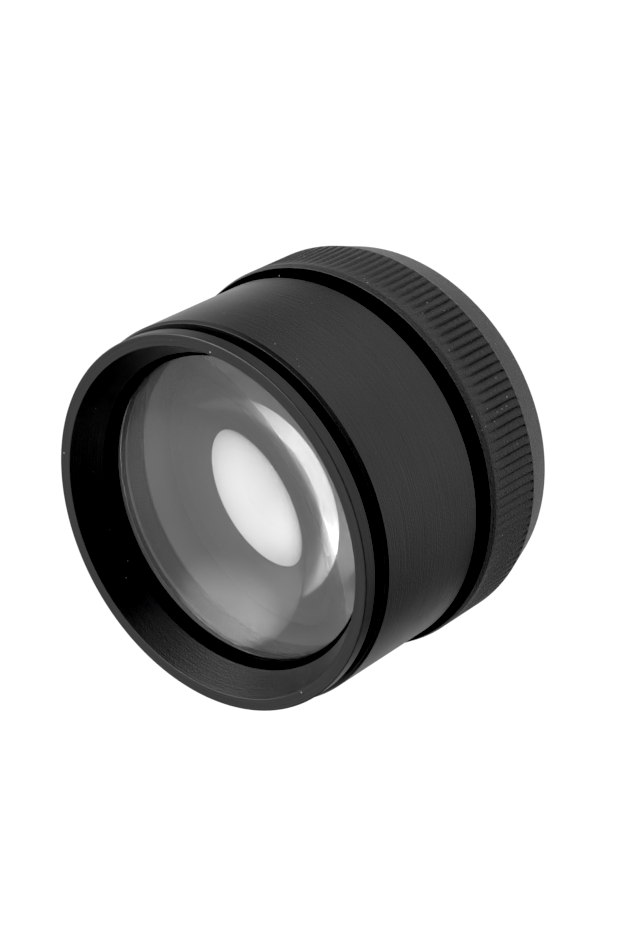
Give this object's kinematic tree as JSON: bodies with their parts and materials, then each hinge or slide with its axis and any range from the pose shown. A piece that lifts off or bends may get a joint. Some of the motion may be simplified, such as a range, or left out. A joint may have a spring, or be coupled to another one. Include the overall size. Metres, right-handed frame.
{
  "type": "loupe",
  "caption": "Round focusing loupe: glass lenses in a black metal barrel with a flared front bezel, and a fluted ring at the rear that turns to slide the rear lens cell.",
  "frame": {"origin": "centre of the rear face of the focus ring, on the optical axis, with the ring at mid travel", "axes": "+Z along the optical axis, from the rear face to the flared front lip; +X through the first guide screw; +Y completes the right-handed frame"},
  "size_m": [0.0466, 0.0466, 0.033],
  "materials": {
    "black_anodised": "turned and black anodised, satin",
    "optical_glass": "polished, ground rim",
    "matt_black": "glare-grooved, matt black anodised",
    "screw_steel": "plain"
  },
  "bodies": {
    "barrel_group": {"barrel": "black_anodised", "front_bezel": "black_anodised", "front_lens": "optical_glass", "front_lens_ring": "black_anodised", "spacer_tube": "matt_black", "guide_screws": "screw_steel"},
    "rear_group": {"rear_cell": "black_anodised", "rear_lens": "optical_glass", "rear_lens_ring": "black_anodised", "rear_bezel": "black_anodised"},
    "ring_group": {"focus_ring": "black_anodised"}
  },
  "joints": [
    {"name": "cell_slide", "type": "slide", "parent": "barrel_group", "child": "rear_group", "axis": [0, 0, 1], "range_m": [-0.0015, 0.0015]},
    {"name": "ring_turn", "type": "hinge", "parent": "rear_group", "child": "ring_group", "pos_m": [0, 0, 0.006], "axis": [0, 0, 1], "range_deg": [-180, 180]}
  ],
  "couplings": [
    {"joint": "cell_slide", "follows": "ring_turn", "m_per_rad": 0.000477}
  ]
}
